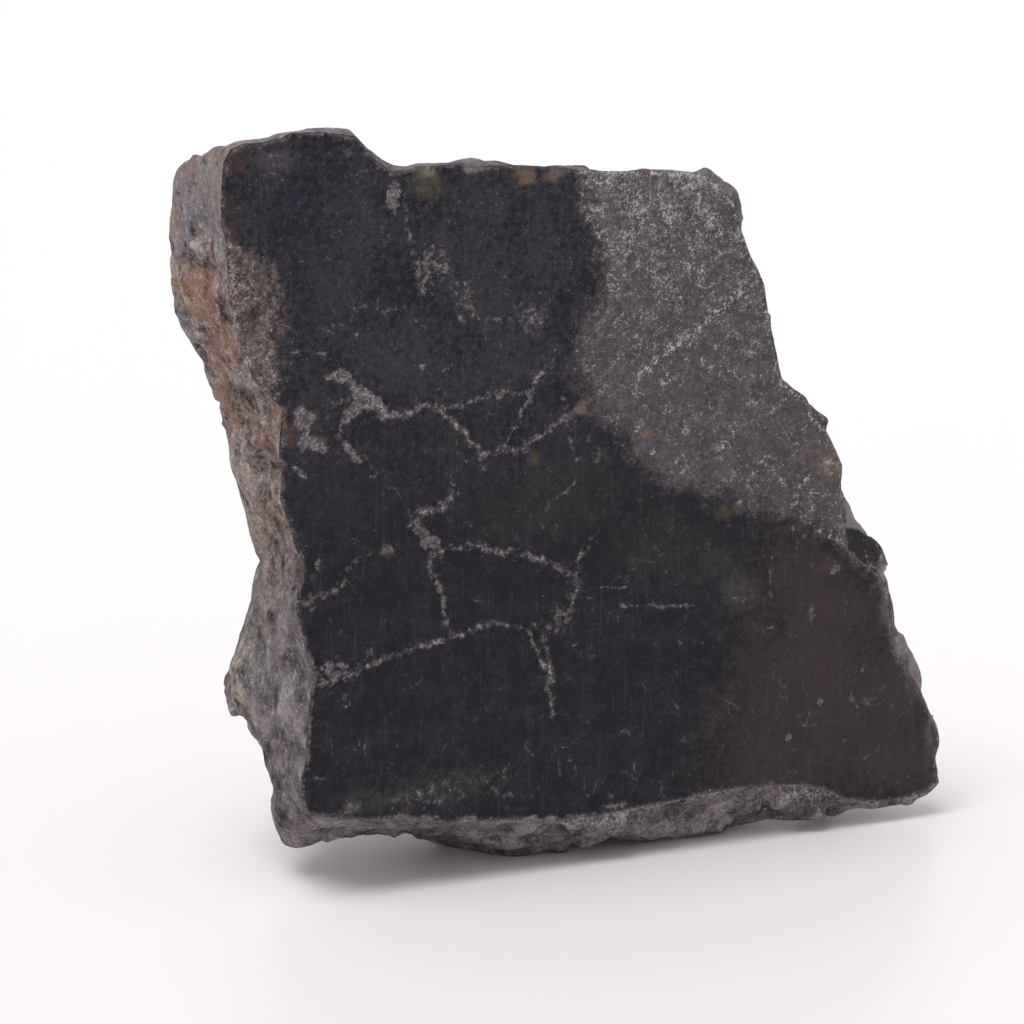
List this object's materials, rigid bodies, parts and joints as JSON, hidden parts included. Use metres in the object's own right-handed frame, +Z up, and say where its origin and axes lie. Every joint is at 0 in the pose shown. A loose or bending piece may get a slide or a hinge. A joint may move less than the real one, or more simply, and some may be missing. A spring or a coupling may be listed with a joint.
{
  "type": "rough labradorite block",
  "caption": "Rough slab of dark labradorite with one flat sawn front face, weathered crust down its left side and broken rock behind, standing on its lower edge.",
  "frame": {"origin": "centre of the bounding box, on the flat spot of the lower edge that the stone rests on", "axes": "+X right along the sawn face, +Y back into the stone away from the sawn face, +Z up"},
  "size_m": [0.1012, 0.0336, 0.0969],
  "materials": {
    "labradorite": "near-black semi-polished sawn face, matte grey-brown crust and fracture"
  },
  "bodies": {
    "root": {"spectrolite_stone": "labradorite"}
  },
  "joints": []
}
